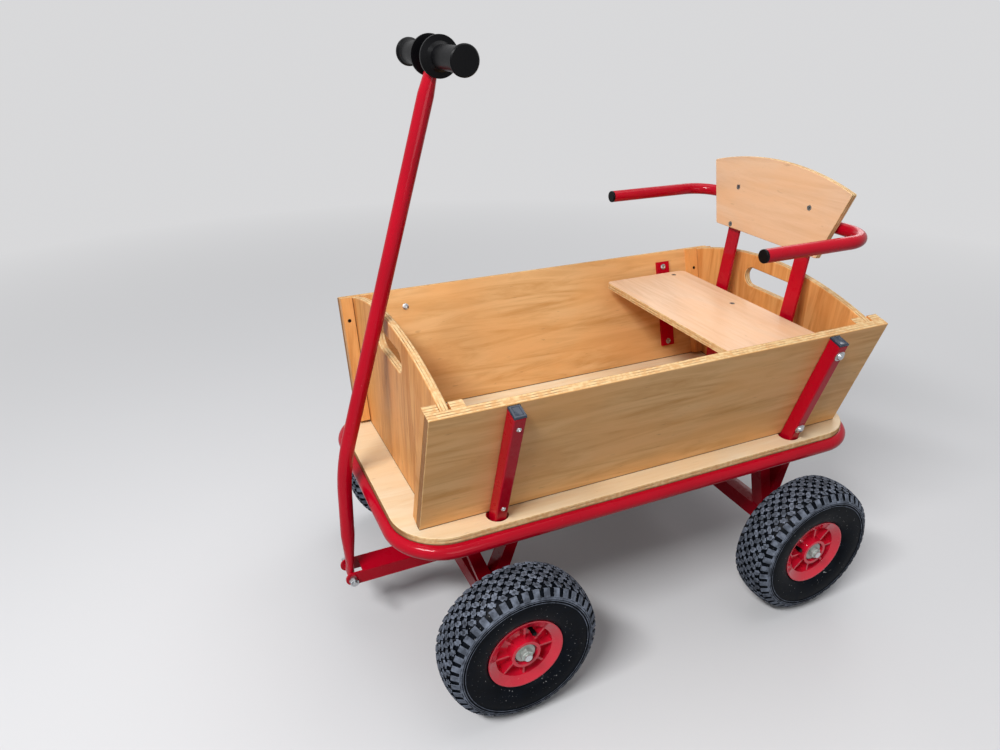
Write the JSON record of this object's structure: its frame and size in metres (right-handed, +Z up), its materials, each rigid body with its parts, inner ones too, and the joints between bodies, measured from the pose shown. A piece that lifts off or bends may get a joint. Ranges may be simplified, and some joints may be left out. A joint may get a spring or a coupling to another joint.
{
  "type": "pull wagon",
  "caption": "Wooden box wagon on a red tube chassis, with a rear seat, armrests and backrest, pneumatic tyres, a steered front axle and a long pull handle with two side grips.",
  "frame": {"origin": "on the ground under the middle of the whole length and width", "axes": "+X forward to the pull handle, +Y to the wagon's left side, +Z up"},
  "size_m": [0.9619, 0.636, 0.988],
  "materials": {
    "red_paint": "glossy crimson powder coat",
    "honey_ply": "satin honey varnish on plywood",
    "birch_ply": "clear varnish on pale birch plywood",
    "seat_ply": "clear varnish on pale plywood",
    "black_plastic": "fine satin",
    "zinc_steel": "bright zinc plate",
    "tyre_rubber": "matt black rubber",
    "rim_red": "glossy red"
  },
  "bodies": {
    "chassis": {"frame_side_rails": "red_paint", "frame_front_bow": "red_paint", "frame_rear_bow": "red_paint", "cross_tubes": "red_paint", "deck_board": "birch_ply", "stake_sockets": "red_paint", "stakes": "red_paint", "stake_caps": "black_plastic", "side_board_left": "honey_ply", "side_board_right": "honey_ply", "corner_battens": "honey_ply", "end_board_front": "honey_ply", "end_board_rear": "honey_ply", "seat_board": "seat_ply", "side_strips": "red_paint", "seat_tube": "red_paint", "back_bars": "red_paint", "backrest": "seat_ply", "arm_tube": "red_paint", "arm_caps": "black_plastic", "rear_axle": "red_paint", "rear_brackets": "red_paint", "turntable_plate": "red_paint"},
    "steering": {"front_axle": "red_paint", "front_brackets": "red_paint", "steering_plate": "zinc_steel", "steering_beams": "red_paint", "drawbar": "red_paint", "pivot_bolt": "zinc_steel"},
    "handle": {"handle_tube": "red_paint", "handle_crossbar": "black_plastic", "grips": "black_plastic"},
    "wheel_front_left": {"tyre_front_left": "tyre_rubber", "rim_front_left": "rim_red", "hub_front_left": "zinc_steel"},
    "wheel_front_right": {"tyre_front_right": "tyre_rubber", "rim_front_right": "rim_red", "hub_front_right": "zinc_steel"},
    "wheel_rear_left": {"tyre_rear_left": "tyre_rubber", "rim_rear_left": "rim_red", "hub_rear_left": "zinc_steel"},
    "wheel_rear_right": {"tyre_rear_right": "tyre_rubber", "rim_rear_right": "rim_red", "hub_rear_right": "zinc_steel"}
  },
  "joints": [
    {"name": "steering_turn", "type": "hinge", "parent": "chassis", "child": "steering", "pos_m": [0.27145, 0, 0.26], "axis": [0, 0, 1], "range_deg": [-15, 15]},
    {"name": "handle_swing", "type": "hinge", "parent": "steering", "child": "handle", "pos_m": [0.46875, 0, 0.118], "axis": [0, 1, 0], "range_deg": [0, 108]},
    {"name": "wheel_spin_front_left", "type": "hinge", "parent": "steering", "child": "wheel_front_left", "pos_m": [0.27145, 0.2754, 0.13], "axis": [0, 1, 0], "continuous": true},
    {"name": "wheel_spin_front_right", "type": "hinge", "parent": "steering", "child": "wheel_front_right", "pos_m": [0.27145, -0.2754, 0.13], "axis": [0, 1, 0], "continuous": true},
    {"name": "wheel_spin_rear_left", "type": "hinge", "parent": "chassis", "child": "wheel_rear_left", "pos_m": [-0.31395, 0.2754, 0.13], "axis": [0, 1, 0], "continuous": true},
    {"name": "wheel_spin_rear_right", "type": "hinge", "parent": "chassis", "child": "wheel_rear_right", "pos_m": [-0.31395, -0.2754, 0.13], "axis": [0, 1, 0], "continuous": true}
  ]
}
